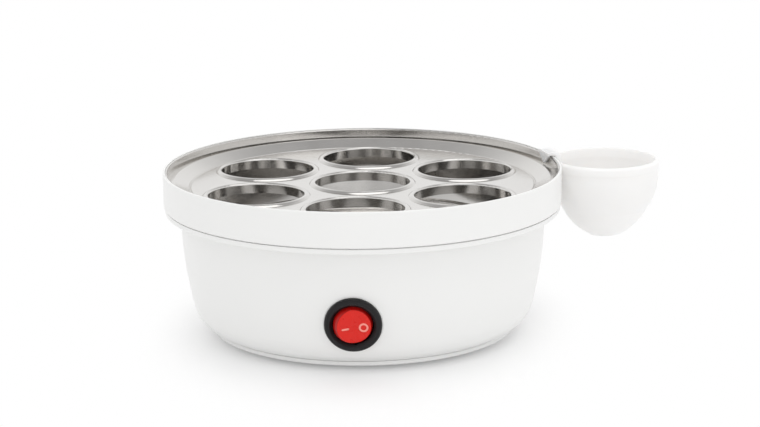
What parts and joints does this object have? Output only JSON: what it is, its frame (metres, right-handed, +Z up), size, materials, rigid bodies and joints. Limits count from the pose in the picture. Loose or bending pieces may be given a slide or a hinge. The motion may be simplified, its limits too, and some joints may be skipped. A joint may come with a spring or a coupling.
{
  "type": "egg cooker",
  "caption": "Round electric egg cooker: steel egg tray over a heated bowl in a white casing, rocker switch in front, measuring cup hung on the rim.",
  "frame": {"origin": "centre of the foot ring, on the surface that the cooker stands on", "axes": "+Z up along the casing's axis, -Y towards the switch, +X towards the side where the cup hangs"},
  "size_m": [0.2083, 0.166, 0.0708],
  "materials": {
    "white_plastic": "semi-gloss moulded white polypropylene",
    "polished_steel": "polished stainless sheet",
    "milky_plastic": "milky translucent polypropylene",
    "plain_steel": "bright zinc-plated steel",
    "cast_aluminium": "as cast",
    "seal_silicone": "soft silicone",
    "foot_rubber": "pale matt rubber",
    "black_plastic": "semi-gloss black nylon",
    "red_plastic": "glossy translucent red",
    "insulator": "moulded thermoset",
    "contact_brass": "bright pressed brass",
    "brown_wire": "brown silicone insulation",
    "white_wire": "white glass-silicone sleeve",
    "blue_wire": "blue silicone insulation",
    "green_wire": "green and yellow insulation"
  },
  "bodies": {
    "base": {"casing": "white_plastic", "rim_collar": "white_plastic", "bottom_cover": "white_plastic", "heating_bowl": "polished_steel", "bowl_seal": "seal_silicone", "foot_ring": "foot_rubber", "cord_grommet": "foot_rubber", "switch_housing": "black_plastic", "switch_terminals": "contact_brass", "thermostat": "insulator", "thermostat_terminals": "contact_brass", "thermostat_bracket": "plain_steel", "heat_plate": "cast_aluminium", "heating_element": "plain_steel", "element_terminals": "plain_steel", "thermal_fuse": "insulator", "fuse_clip": "plain_steel", "plate_screws": "plain_steel", "bowl_studs": "plain_steel", "stud_washers": "plain_steel", "stud_nuts": "plain_steel", "earth_tab": "contact_brass", "terminal_block": "insulator", "clamp_screws": "contact_brass", "cover_screws": "plain_steel", "live_wire": "brown_wire", "switched_wire": "brown_wire", "fuse_wire": "white_wire", "element_wire": "white_wire", "neutral_wire": "blue_wire", "earth_wire": "green_wire"},
    "tray": {"egg_tray": "polished_steel"},
    "cup": {"measuring_cup": "milky_plastic", "pricker_needle": "plain_steel"},
    "rocker": {"switch_rocker": "red_plastic", "switch_plunger": "insulator"},
    "contact": {"contact_blade": "contact_brass"}
  },
  "joints": [
    {"name": "tray_lift", "type": "slide", "parent": "base", "child": "tray", "axis": [0, 0, 1], "range_m": [0, 0.07]},
    {"name": "cup_lift", "type": "slide", "parent": "base", "child": "cup", "axis": [0, 0, 1], "range_m": [0, 0.06]},
    {"name": "rocker_press", "type": "hinge", "parent": "base", "child": "rocker", "pos_m": [0, -0.0729, 0.02196], "axis": [0.1045, 0.1827, -0.9776], "range_deg": [0, 20]},
    {"name": "contact_tilt", "type": "hinge", "parent": "base", "child": "contact", "pos_m": [0, -0.06582, 0.02328], "axis": [0.1045, 0.1827, -0.9776], "range_deg": [-12, 0]}
  ],
  "couplings": [
    {"joint": "contact_tilt", "follows": "rocker_press", "ratio": -0.6}
  ]
}
